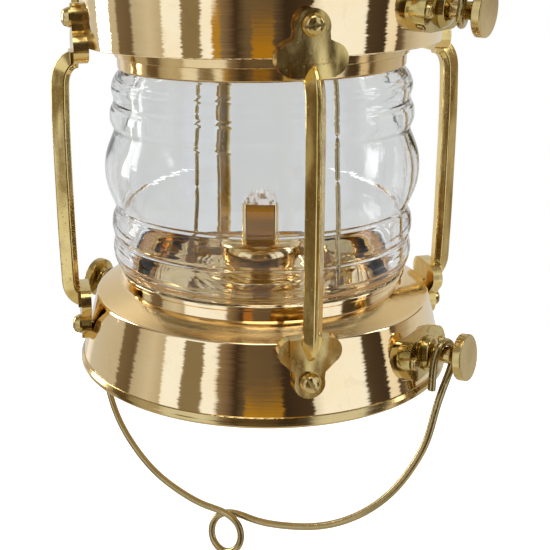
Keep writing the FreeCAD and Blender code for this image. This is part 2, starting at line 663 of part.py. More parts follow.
def make_wick_shaft():
    shaft = rod(vec(-31.0, SHAFT_Y, SHAFT_Z), vec(20.2, SHAFT_Y, SHAFT_Z), SHAFT_R)
    for x in (-5.6, 3.6):
        wheel = Part.makeCylinder(WHEEL_R, 2.0, vec(x, SHAFT_Y, SHAFT_Z), vec(1, 0, 0))
        for k in range(12):
            angle = 2 * math.pi * k / 12
            at = vec(x - 1, SHAFT_Y + 3.9 * math.cos(angle), SHAFT_Z + 3.9 * math.sin(angle))
            wheel = wheel.cut(Part.makeCylinder(0.6, 4.0, at, vec(1, 0, 0)))
        shaft = shaft.fuse(wheel)
    return shaft.removeSplitter()


def make_wick_knob():
    knob = lathe_x([(0.0, -34.0), (2.2, -34.0, 0.4), (2.4, -33.2), (5.2, -33.2, 0.4), (5.2, -30.2, 0.4),
                    (2.4, -30.2), (2.0, -28.6, 0.3), (1.0, -28.6), (1.0, -31.0), (0.0, -31.0)])
    for k in range(24):
        angle = 2 * math.pi * k / 24
        at = vec(-36, 5.35 * math.cos(angle), 5.35 * math.sin(angle))
        knob = knob.cut(Part.makeCylinder(0.42, 8.0, at, vec(1, 0, 0)))
    knob.translate(vec(0, SHAFT_Y, SHAFT_Z))
    return knob


def make_handle_ears():
    """Two upright ears on the font; the handle's ends pass through them."""
    solids = []
    for side in (1, -1):
        ear = box(48.6, 50.2, -3.2, 3.2, 34.0, HANDLE_PIVOT_Z)
        ear = ear.fuse(Part.makeCylinder(3.2, 1.6, vec(48.6, 0, HANDLE_PIVOT_Z), vec(1, 0, 0)))
        pivot = rod(vec(45, 0, HANDLE_PIVOT_Z), vec(55, 0, HANDLE_PIVOT_Z), HANDLE_WIRE_R + RUNNING_GAP)
        ear = ear.cut(pivot)
        ear = ear.cut(make_font_fill()).removeSplitter()
        solids.append(turned(ear, HANDLE_TURN + (0 if side == 1 else 180)))
    return Part.makeCompound(solids)


def make_lamp_handle():
    """Tall wire loop for lifting the lamp out through the top."""
    half = [(46.0, 42.5), (48.0, 42.5), (50.2, 42.5), (51.9, 43.2), (52.7, 45.0), (52.6, 52.0), (52.0, 72.0),
            (51.0, 96.0), (50.0, 120.0), (48.2, 137.0), (43.0, 150.0), (32.0, 160.0), (16.0, 165.4)]
    path = [vec(r, 0, z) for r, z in half] + [vec(0, 0, 166.8)]
    path += [vec(-r, 0, z) for r, z in half[::-1]]
    return turned(swept_wire(path, HANDLE_WIRE_R), HANDLE_TURN)


# --- everything together --------------------------------------------------

def export(shape, node):
    copy = shape.copy()
    copy.translate(vec(0, 0, -HANG_Z))
    copy.exportStep("parts/" + node + ".step")


def export_body_shell():
    export(make_foot_rim(), "foot_rim")
    export(make_lower_drum(), "lower_drum")
    export(make_floor_plate(), "floor_plate")
    export(make_floor_screws(), "floor_screws")
    export(make_floor_lugs(), "floor_lugs")
    export(make_neck_ring(), "neck_ring")
    export(make_lower_gasket(), "lower_gasket")
    export(make_lens(), "lens")
    export(make_upper_gasket(), "upper_gasket")
    export(make_collar_lower(), "collar_lower")
    export(make_collar_upper(), "collar_upper")
    export(make_soffit(), "soffit_plate")
    export(make_upper_drum(), "upper_drum")
    export(make_top_rim(), "top_rim")


def export_guards():
    guard = make_guard()
    for name, angle in GUARD_ANGLES.items():
        export(turned(guard, angle), "guard_bracket_" + name)
    export(make_guard_screws(FOOT_FRONT_R, LOW_SCREW_Z, (124, 15, 100, 130)), "lower_guard_screws")
    export(make_guard_screws(TOP_FOOT_FRONT_R, HIGH_SCREW_Z, (8, 75, 40, 110)), "upper_guard_screws")


def export_trunnions():
    low_core = drum_core((WALL_FOOT_R, WALL_TOP_R), (RIM_H, WALL_TOP_Z))
    high_core = drum_core((UPPER_FOOT_R, UPPER_TOP_R), (UPPER_FOOT_Z, UPPER_TOP_Z))
    levels = (("lower", LOW_TILT, TRUNNION_LOW_Z, low_core),
              ("upper", HIGH_TILT, TRUNNION_HIGH_Z, high_core))
    for level, tilt, z, core in levels:
        boss = make_boss(tilt, z, core)
        knob = make_knob(tilt, z)
        rivets = make_rivets(tilt, z)
        solids = []
        for side, angle in (("right", 0), ("left", 180)):
            export(turned(boss, angle), level + "_boss_" + side)
            export(turned(knob, angle), level + "_knob_" + side)
            solids += [turned(rivet, angle) for rivet in rivets]
        export(Part.makeCompound(solids), level + "_boss_rivets")


def export_bails():
    export(make_lower_bail(), "lower_bail")
    export(make_upper_bail(), "upper_bail")


def export_lid():
    export(make_lid_cone(), "lid_cone")
    export(make_lid_skirt(), "lid_skirt")
    export(vented(make_chimney()), "chimney")
    export(make_chimney_band(), "chimney_band")
    export(make_cap(), "chimney_cap")
    export(make_cap_ring(), "cap_ring")
    export(make_finial(), "cap_finial")


def export_lamp():
    pieces = {"lamp_cradle": make_cradle(), "font_body": make_font_body(), "font_top": make_font_top(),
              "filler_neck": make_filler_neck(), "filler_cap": make_filler_cap(),
              "burner_collar": make_burner_collar(), "burner_dome": make_burner_dome(),
              "wick_tube": make_wick_tube(), "wick": make_wick(), "wick_shaft": make_wick_shaft(),
              "wick_knob": make_wick_knob(), "handle_ears": make_handle_ears(),
              "lamp_handle": make_lamp_handle()}
    for node, shape in pieces.items():
        export(turned(shape, LAMP_TURN), node)


export_body_shell()
export_guards()
export_trunnions()
export_bails()
export_lid()
export_lamp()
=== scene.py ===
import bpy
import math
import random
from mathutils import Matrix, Vector


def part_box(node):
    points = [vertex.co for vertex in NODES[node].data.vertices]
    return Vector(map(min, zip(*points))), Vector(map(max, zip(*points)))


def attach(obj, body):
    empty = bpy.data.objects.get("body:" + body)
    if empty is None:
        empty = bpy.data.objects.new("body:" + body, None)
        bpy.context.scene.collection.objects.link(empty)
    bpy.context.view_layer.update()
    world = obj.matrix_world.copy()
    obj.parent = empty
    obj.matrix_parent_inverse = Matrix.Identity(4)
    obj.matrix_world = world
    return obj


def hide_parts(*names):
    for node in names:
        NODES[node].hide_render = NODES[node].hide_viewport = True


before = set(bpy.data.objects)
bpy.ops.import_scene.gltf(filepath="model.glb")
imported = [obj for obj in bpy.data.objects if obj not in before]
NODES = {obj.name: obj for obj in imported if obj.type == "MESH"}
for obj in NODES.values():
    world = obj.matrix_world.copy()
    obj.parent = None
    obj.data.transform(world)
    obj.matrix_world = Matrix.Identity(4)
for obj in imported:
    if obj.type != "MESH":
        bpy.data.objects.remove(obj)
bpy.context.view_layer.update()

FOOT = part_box("foot_rim")[0].z          # underside of the foot rim, metres in the frame
VIEW_AZIMUTH = math.radians(31.64)      # the camera stands this far round from -Y towards +X
LAMP_TURN = math.radians(31.0)          # the lamp stands turned so that its wick faces forward


def height(mm):
    """A height above the foot rim, in millimetres, as a z of the frame."""
    return FOOT + mm / 1000.0


# ---------------------------------------------------------------- node helpers


class Shader:
    """A small helper that adds nodes to one tree."""

    def __init__(self, tree):
        self.tree = tree
        tree.nodes.clear()

    def add(self, kind, inputs=None, **props):
        made = self.tree.nodes.new(kind)
        for key, value in props.items():
            setattr(made, key, value)
        for key, value in (inputs or {}).items():
            self.put(made.inputs[key], value)
        return made

    def put(self, socket, value):
        if isinstance(value, bpy.types.NodeSocket):
            self.tree.links.new(value, socket)
        else:
            socket.default_value = value

    def math(self, op, a, b=0.0, c=None, clamp=False):
        made = self.add("ShaderNodeMath", operation=op, use_clamp=clamp)
        self.put(made.inputs[0], a)
        self.put(made.inputs[1], b)
        if c is not None:
            self.put(made.inputs[2], c)
        return made.outputs[0]

    def vec(self, op, a, b=None):
        made = self.add("ShaderNodeVectorMath", operation=op)
        self.put(made.inputs[0], a)
        if b is not None:
            self.put(made.inputs[1], b)
        return made.outputs["Value"] if op == "DOT_PRODUCT" else made.outputs[0]

    def scaled(self, coord, sx, sy, sz):
        made = self.add("ShaderNodeMapping")
        self.put(made.inputs["Vector"], coord)
        made.inputs["Scale"].default_value = (sx, sy, sz)
        return made.outputs[0]

    def noise(self, coord, scale, detail=3.0, rough=0.55, distortion=0.0, w=None):
        made = self.add("ShaderNodeTexNoise", noise_dimensions="4D" if w is not None else "3D")
        self.put(made.inputs["Vector"], coord)
        if w is not None:
            self.put(made.inputs["W"], w)
        made.inputs["Scale"].default_value = scale
        made.inputs["Detail"].default_value = detail
        made.inputs["Roughness"].default_value = rough
        made.inputs["Distortion"].default_value = distortion
        return made.outputs[0]

    def spots(self, coord, scale, randomness=1.0):
        made = self.add("ShaderNodeTexVoronoi", feature="F1")
        self.put(made.inputs["Vector"], coord)
        made.inputs["Scale"].default_value = scale
        made.inputs["Randomness"].default_value = randomness
        return made.outputs["Distance"]

    def range(self, value, lo, hi, to_lo=0.0, to_hi=1.0, smooth=False):
        made = self.add("ShaderNodeMapRange", interpolation_type="SMOOTHSTEP" if smooth else "LINEAR")
        self.put(made.inputs["Value"], value)
        made.inputs["From Min"].default_value = lo
        made.inputs["From Max"].default_value = hi
        made.inputs["To Min"].default_value = to_lo
        made.inputs["To Max"].default_value = to_hi
        return made.outputs["Result"]

    def mix(self, factor, a, b):
        made = self.add("ShaderNodeMix", data_type="RGBA")
        self.put(made.inputs[0], factor)
        self.put(made.inputs[6], a)
        self.put(made.inputs[7], b)
        return made.outputs[2]

    def blend(self, factor, a, b):
        made = self.add("ShaderNodeMix", data_type="FLOAT")
        self.put(made.inputs[0], factor)
        self.put(made.inputs[2], a)
        self.put(made.inputs[3], b)
        return made.outputs[0]

    def bump(self, heights, distance, normal=None):
        made = self.add("ShaderNodeBump")
        self.put(made.inputs["Height"], heights)
        made.inputs["Distance"].default_value = distance
        if normal is not None:
            self.put(made.inputs["Normal"], normal)
        return made.outputs[0]

    def axes(self, coord):
        """The x, y and z of a vector."""
        return self.add("ShaderNodeSeparateXYZ", {0: coord}).outputs

    def finish(self, shader, kind="ShaderNodeOutputMaterial"):
        self.put(self.add(kind).inputs["Surface"], shader.outputs[0])


def rgb(r, g, b):
    return (r, g, b, 1.0)


def new_material(name):
    made = bpy.data.materials.new(name)
    made.use_nodes = True
    return made, Shader(made.node_tree)


# ---------------------------------------------------------------- brass

BRASS = rgb(0.900, 0.690, 0.390)
BRASS_PALE = rgb(0.925, 0.745, 0.460)
BRASS_YELLOW = rgb(0.780, 0.590, 0.270)
SATIN_BRASS = rgb(0.820, 0.550, 0.200)
TARNISH = rgb(0.400, 0.250, 0.095)
PIT_DIRT = rgb(0.200, 0.110, 0.040)
SHOULDER = (height(32.8), height(37.3))  # the sloping top of the lower drum


def brass(name, light, dark, roughness, satin=None, lathe=0.0, cast=0.0, brushed=0.0, wave=0.0,
          tarnish=0.35, rings_deep=0.0, drag=0.0):
    """Bare brass. roughness: (lowest, highest). satin: (z0, z1, roughness) band of duller metal.
    lathe: depth in metres of turned rings about Z. cast: depth of sand-cast pits.
    brushed: depth of fine random scratches. wave: depth of slow unevenness.
    rings_deep: depth of broad pressed rings about the lamp's axis.
    drag: sideways tilt of the surface, in radians, from polishing streaks that run round it."""
    made, s = new_material(name)
    coord = s.add("ShaderNodeTexCoord").outputs["Object"]
    x, y, z = s.axes(coord)
    radius = s.math("SQRT", s.math("ADD", s.math("MULTIPLY", x, x), s.math("MULTIPLY", y, y)))
    angle = s.math("ARCTAN2", y, x)

    cloud = s.noise(coord, 38.0, 4.0, 0.6)
    fine = s.noise(coord, 420.0, 4.0, 0.7)
    colour = s.mix(s.range(cloud, 0.35, 0.68), light, dark)
    stain = s.math("MULTIPLY", s.range(s.noise(coord, 95.0, 6.0, 0.72, 0.6), 0.56, 0.78), tarnish)
    colour = s.mix(stain, colour, TARNISH)

    lo, hi = roughness
    rough = s.range(cloud, 0.30, 0.72, lo, hi)
    rough = s.math("ADD", rough, s.range(fine, 0.40, 0.80, 0.0, (hi - lo) * 0.7))
    rough = s.math("ADD", rough, s.math("MULTIPLY", stain, 0.22))

    normal = None
    if drag:
        lines = s.add("ShaderNodeCombineXYZ")
        s.put(lines.inputs[0], s.math("MULTIPLY", z, 1100.0))
        s.put(lines.inputs[1], s.math("MULTIPLY", s.math("SINE", angle), 2.0))
        s.put(lines.inputs[2], s.math("MULTIPLY", s.math("COSINE", angle), 2.0))
        streak = s.math("SUBTRACT", s.noise(lines.outputs[0], 1.0, 3.0, 0.7), 0.5)
        streak = s.math("MULTIPLY", streak, drag * 4.0)
        face = s.add("ShaderNodeNewGeometry").outputs["Normal"]
        round_z = s.vec("CROSS_PRODUCT", (0.0, 0.0, 1.0), face)
        shift = s.add("ShaderNodeVectorMath", operation="SCALE")
        s.put(shift.inputs[0], round_z)
        s.put(shift.inputs["Scale"], streak)
        normal = s.vec("NORMALIZE", s.vec("ADD", face, shift.outputs[0]))
    if wave:
        normal = s.bump(s.noise(s.scaled(coord, 1.0, 1.0, 0.45), 60.0, 1.5, 0.45), wave, normal=normal)
    if lathe:
        turn = s.add("ShaderNodeCombineXYZ")
        s.put(turn.inputs[0], s.math("MULTIPLY", radius, 1500.0))
        s.put(turn.inputs[1], s.math("MULTIPLY", z, 1500.0))
        s.put(turn.inputs[2], s.math("MULTIPLY", s.math("COSINE", angle), 3.2))
        rings = s.noise(turn.outputs[0], 1.0, 2.5, 0.65, w=s.math("MULTIPLY", s.math("SINE", angle), 3.2))
        normal = s.bump(rings, lathe, normal=normal)
        rough = s.math("ADD", rough, s.range(rings, 0.45, 0.85, 0.0, 0.05))
    if rings_deep:
        ripple = s.math("SINE", s.math("MULTIPLY", s.math("ADD", radius, z), 2400.0))
        normal = s.bump(ripple, rings_deep, normal=normal)
    if satin:
        z0, z1, dull = satin
        band = s.math("MULTIPLY", s.range(z, z0 - 0.0006, z0 + 0.0004, smooth=True),
                      s.range(z, z1 - 0.0004, z1 + 0.0004, 1.0, 0.0, smooth=True))
        grain = s.noise(coord, 900.0, 3.0, 0.6)
        rough = s.blend(band, rough, s.math("ADD", s.range(grain, 0.35, 0.75, 0.0, 0.05), dull))
        colour = s.mix(s.math("MULTIPLY", band, 0.60), colour, SATIN_BRASS)
    if cast:
        lumps = s.noise(coord, 260.0, 3.0, 0.6, 0.4)
        pits = s.range(s.spots(coord, 520.0), 0.0, 0.26, 0.0, 1.0, smooth=True)
        some = s.range(s.noise(coord, 150.0, 2.0, 0.5), 0.46, 0.62)
        holes = s.math("MULTIPLY", s.math("SUBTRACT", 1.0, pits), some)
        normal = s.bump(lumps, cast, normal=normal)
        normal = s.bump(s.math("SUBTRACT", 1.0, holes), cast * 0.8, normal=normal)
        rough = s.math("ADD", rough, s.math("MULTIPLY", holes, 0.3))
        colour = s.mix(s.math("MULTIPLY", holes, 0.8), colour, PIT_DIRT)
    if brushed:
        strokes = s.noise(s.scaled(coord, 900.0, 900.0, 170.0), 1.0, 3.0, 0.6, 0.3)
        normal = s.bump(strokes, brushed, normal=normal)
        rough = s.math("ADD", rough, s.range(strokes, 0.50, 0.85, 0.0, 0.10))
    speck = s.noise(coord, 1500.0, 2.0, 0.6)
    normal = s.bump(speck, 0.0000012, normal=normal)

    shader = s.add("ShaderNodeBsdfPrincipled")
    s.put(shader.inputs["Base Color"], colour)
    shader.inputs["Metallic"].default_value = 1.0
    s.put(shader.inputs["Roughness"], s.math("MINIMUM", rough, 0.75))
    s.put(shader.inputs["Normal"], normal)
    s.finish(shader)
    return made


drum_brass = brass("drum_brass", BRASS, BRASS_PALE, (0.022, 0.050), lathe=0.0000040, wave=0.00012,
                   satin=(*SHOULDER, 0.13), tarnish=0.22, drag=0.016)
ring_brass = brass("ring_brass", BRASS, BRASS_PALE, (0.030, 0.060), lathe=0.0000025, wave=0.00008,
                   tarnish=0.28, drag=0.012)
rim_brass = brass("rim_brass", rgb(0.52, 0.375, 0.150), rgb(0.66, 0.495, 0.220), (0.09, 0.16),
                  lathe=0.000004, tarnish=0.40)
collar_brass = brass("collar_brass", rgb(0.66, 0.465, 0.205), rgb(0.78, 0.575, 0.290), (0.07, 0.13),
                     lathe=0.0000030, wave=0.00008, tarnish=0.40, drag=0.012)
lid_brass = brass("lid_brass", BRASS, BRASS_PALE, (0.09, 0.15), lathe=0.000006, wave=0.00008, tarnish=0.35)
cast_brass = brass("cast_metal", rgb(0.62, 0.440, 0.140), rgb(0.80, 0.615, 0.260), (0.08, 0.18),
                   cast=0.000014, brushed=0.000004, wave=0.00115, tarnish=0.50)
boss_brass = brass("boss_metal", rgb(0.40, 0.295, 0.090), rgb(0.62, 0.475, 0.185), (0.07, 0.15),
                   cast=0.000016, brushed=0.000004, wave=0.00090, tarnish=0.55)
turned_brass = brass("turned_metal", rgb(0.47, 0.335, 0.115), rgb(0.68, 0.515, 0.225), (0.11, 0.19),
                     brushed=0.000004, wave=0.00004, tarnish=0.55)
wire_brass = brass("wire_metal", rgb(0.38, 0.290, 0.125), rgb(0.50, 0.390, 0.190), (0.17, 0.26),
                   brushed=0.000006, tarnish=0.5)
lamp_brass = brass("lamp_metal", BRASS, BRASS_YELLOW, (0.08, 0.14), lathe=0.000003, wave=0.00005, tarnish=0.5)
font_brass = brass("font_metal", BRASS, BRASS_YELLOW, (0.07, 0.12), lathe=0.000003, tarnish=0.5,
                   rings_deep=0.00006)


# ---------------------------------------------------------------- glass, gasket, wick


CREASES = (44.8, 48.2, 58.6, 72.4, 107.2, 117.4, 126.6)    # millimetres above the foot rim, between the ribs
CREASE_HALF_WIDTH = 0.0014


def glass_material():
    """Clear pressed glass: slow waves, fine drawn lines, a few seeds and a crease between each two ribs."""
    made, s = new_material("lens_glass")
    coord = s.add("ShaderNodeTexCoord").outputs["Object"]
    slow = s.noise(s.scaled(coord, 26.0, 26.0, 60.0), 1.0, 2.0, 0.5)
    draw = s.noise(s.scaled(coord, 22.0, 22.0, 430.0), 1.0, 2.0, 0.6)
    seeds = s.range(s.spots(coord, 130.0), 0.0, 0.035, 0.0, 1.0, smooth=True)
    z = s.axes(coord)[2]
    fold = None
    for crease in CREASES:
        off = s.math("ABSOLUTE", s.math("SUBTRACT", z, height(crease)))
        dip = s.range(off, 0.0, CREASE_HALF_WIDTH, smooth=True)
        fold = dip if fold is None else s.math("MINIMUM", fold, dip)
    normal = s.bump(slow, 0.00022)
    normal = s.bump(fold, 0.00045, normal=normal)
    normal = s.bump(draw, 0.00006, normal=normal)
    normal = s.bump(seeds, 0.00006, normal=normal)
    dust = s.range(s.noise(coord, 240.0, 5.0, 0.7), 0.60, 0.85, 0.0, 0.05)
    shader = s.add("ShaderNodeBsdfPrincipled")
    cloud = s.range(s.noise(coord, 30.0, 2.0), 0.3, 0.7)
    tint = s.mix(cloud, rgb(0.955, 0.965, 0.970), rgb(0.970, 0.972, 0.972))
    s.put(shader.inputs["Base Color"], tint)
    shader.inputs["Transmission Weight"].default_value = 1.0
    shader.inputs["IOR"].default_value = 1.17
    shader.inputs["Coat Weight"].default_value = 0.30
    shader.inputs["Coat Roughness"].default_value = 0.04
    shader.inputs["Coat IOR"].default_value = 1.52
    s.put(shader.inputs["Roughness"], dust)
    s.put(shader.inputs["Normal"], normal)
    s.finish(shader)
    return made


def gasket_material():
    """Brown felt ring under the glass, with a weak glow for the light that the glass keeps from it."""
    made, s = new_material("gasket_felt")
    coord = s.add("ShaderNodeTexCoord").outputs["Object"]
    grain = s.noise(coord, 700.0, 5.0, 0.7)
    shader = s.add("ShaderNodeBsdfPrincipled")
    felt = s.mix(grain, rgb(0.62, 0.43, 0.22), rgb(0.84, 0.64, 0.38))
    s.put(shader.inputs["Base Color"], felt)
    s.put(shader.inputs["Emission Color"], felt)
    shader.inputs["Emission Strength"].default_value = 0.22
    s.put(shader.inputs["Roughness"], s.range(grain, 0.2, 0.8, 0.75, 0.95))
    s.put(shader.inputs["Normal"], s.bump(grain, 0.0001))
    s.finish(shader)
    return made


def wick_material():
    """Flat woven cotton: ribs along the length, picks across it, singed in places.
    It has a weak glow for the light that the glass keeps from it."""
    made, s = new_material("wick_cotton")
    coord = s.add("ShaderNodeTexCoord").outputs["Object"]
    turn = s.add("ShaderNodeMapping", {"Vector": coord, "Rotation": (0.0, 0.0, -LAMP_TURN)})
    across = s.math("SINE", s.math("MULTIPLY", s.axes(turn.outputs[0])[0], 7000.0))
    along = s.math("SINE", s.math("MULTIPLY", s.axes(coord)[2], 9000.0))
    weave = s.math("MULTIPLY", across, along)
    fuzz = s.noise(coord, 2200.0, 3.0, 0.7)
    colour = s.mix(s.range(fuzz, 0.3, 0.7), rgb(0.97, 0.96, 0.93), rgb(0.88, 0.86, 0.80))
    singed = s.range(s.noise(coord, 420.0, 3.0, 0.6), 0.50, 0.60, 0.0, 0.9)
    colour = s.mix(singed, colour, rgb(0.34, 0.20, 0.09))
    shader = s.add("ShaderNodeBsdfPrincipled")
    s.put(shader.inputs["Base Color"], colour)
    s.put(shader.inputs["Roughness"], s.range(fuzz, 0.2, 0.8, 0.80, 0.97))
    shader.inputs["Sheen Weight"].default_value = 0.7
    s.put(shader.inputs["Emission Color"], colour)
    shader.inputs["Emission Strength"].default_value = 0.45
    s.put(shader.inputs["Normal"], s.bump(s.math("ADD", weave, fuzz), 0.00012))
    s.finish(shader)
    return made


lens_glass = glass_material()
gasket_felt = gasket_material()
wick_cotton = wick_material()

FINISH = (
    (drum_brass, ("lower_drum", "upper_drum")),
    (collar_brass, ("collar_lower", "collar_upper")),
    (ring_brass, ("neck_ring", "chimney_band", "chimney", "soffit_plate", "floor_plate")),
    (rim_brass, ("foot_rim", "top_rim")),
    (lid_brass, ("lid_cone", "lid_skirt", "chimney_cap", "cap_ring")),
    (cast_brass, ("guard_bracket_front", "guard_bracket_right", "guard_bracket_rear", "guard_bracket_left")),
    (boss_brass, ("lower_boss_right", "lower_boss_left", "upper_boss_right", "upper_boss_left")),
    (turned_brass, ("lower_knob_right", "lower_knob_left", "upper_knob_right", "upper_knob_left",
                    "lower_guard_screws", "upper_guard_screws", "lower_boss_rivets", "upper_boss_rivets",
                    "floor_screws", "floor_lugs", "lamp_cradle", "cap_finial", "filler_cap", "filler_neck",
                    "wick_knob", "wick_shaft")),
    (wire_brass, ("upper_bail", "lower_bail", "lamp_handle", "handle_ears")),
    (lamp_brass, ("font_body", "burner_collar", "burner_dome", "wick_tube")),
    (font_brass, ("font_top",)),
    (lens_glass, ("lens",)),
    (gasket_felt, ("lower_gasket", "upper_gasket")),
    (wick_cotton, ("wick",)),
)
for finish, names in FINISH:
    for name in names:
        for place in NODES[name].material_slots:
            place.material = finish


# ---------------------------------------------------------------- wick

WICK_HALF_W = 0.0072
WICK_HALF_D = 0.0011
DRAWN_IN_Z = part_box("wick_tube")[1].z + 0.0040    # below this, a thread goes into the tube with the wick


def wick_edge(x, rand):
    """How far the worn top edge stands above the trimmed height, at x across the strip."""
    share = x / WICK_HALF_W
    crown = 0.0016 * math.exp(-3.0 * (share - 0.1) ** 2)
    return crown - 0.0009 * abs(share) ** 3 + rand.uniform(-0.0003, 0.0004)


def wick_strip():
    """The woven strip: ribbed down its length, ragged along the top, with loose threads."""
    rand = random.Random(11)
    low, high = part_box("wick")
    columns, rows, threads = 44, 90, 150
    verts, faces = [], []
    loop = []
    for k in range(columns + 1):
        x = -WICK_HALF_W + 2 * WICK_HALF_W * k / columns
        loop.append((x, -1))
    for k in range(columns, -1, -1):
        x = -WICK_HALF_W + 2 * WICK_HALF_W * k / columns
        loop.append((x, 1))
    tops = [high.z - 0.0008 + wick_edge(x, rand) for x, _ in loop]
    for row in range(rows + 1):
        share = row / rows
        for (x, way), top in zip(loop, tops):
            rib = 0.00009 * math.cos(x * math.pi / 0.00065) * (1 if row % 2 else -1)
            edge = 1.0 - 0.5 * abs(x / WICK_HALF_W) ** 6
            y = way * ((WICK_HALF_D - 0.00012) * edge + rib)
            verts.append((x, y, low.z + (top - low.z) * share))
    count = len(loop)
    for row in range(rows):
        for k in range(count):
            a, b = row * count + k, row * count + (k + 1) % count
            faces.append((a, b, b + count, a + count))
    faces.append(tuple(range(count - 1, -1, -1)))
    base = rows * count
    for k in range(columns):
        faces.append((base + k, base + k + 1, base + count - 2 - k, base + count - 1 - k))
    for _ in range(threads):
        x = rand.uniform(-0.97, 0.97) * WICK_HALF_W
        y = rand.uniform(-0.85, 0.85) * WICK_HALF_D
        z = high.z - 0.0016 + wick_edge(x, rand)
        lean_x, lean_y = rand.uniform(-0.5, 0.5), rand.uniform(-0.45, 0.45)
        curl_x, curl_y = rand.uniform(-0.7, 0.7), rand.uniform(-0.6, 0.6)
        length = rand.uniform(0.0012, 0.0036)
        thick = rand.uniform(0.00009, 0.00018)
        start = len(verts)
        for step in range(6):
            share = step / 5
            run = length * share
            cx = x + run * (lean_x + curl_x * share)
            cy = y + run * (lean_y + curl_y * share)
            cz = z + run * (1.0 - 0.35 * share)
            if cz < DRAWN_IN_Z:
                cx = max(-WICK_HALF_W, min(WICK_HALF_W, cx))
                cy = max(-WICK_HALF_D, min(WICK_HALF_D, cy))
            for corner in range(4):
                around = corner * math.pi / 2
                size = thick * (1.0 - 0.65 * share)
                verts.append((cx + size * math.cos(around), cy + size * math.sin(around), cz))
        for step in range(5):
            for corner in range(4):
                a = start + step * 4 + corner
                b = start + step * 4 + (corner + 1) % 4
                faces.append((a, b, b + 4, a + 4))
        faces.append(tuple(start + 20 + corner for corner in range(4)))
    mesh = bpy.data.meshes.new("wick_strip_cotton")
    mesh.from_pydata(verts, [], faces)
    mesh.transform(Matrix.Rotation(LAMP_TURN, 4, "Z"))
    mesh.polygons.foreach_set("use_smooth", [True] * len(mesh.polygons))
    mesh.materials.append(wick_cotton)
    made = bpy.data.objects.new("wick_strip_cotton", mesh)
    bpy.context.scene.collection.objects.link(made)
    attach(made, "wick_strip")
    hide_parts("wick")


wick_strip()

# ---------------------------------------------------------------- studio


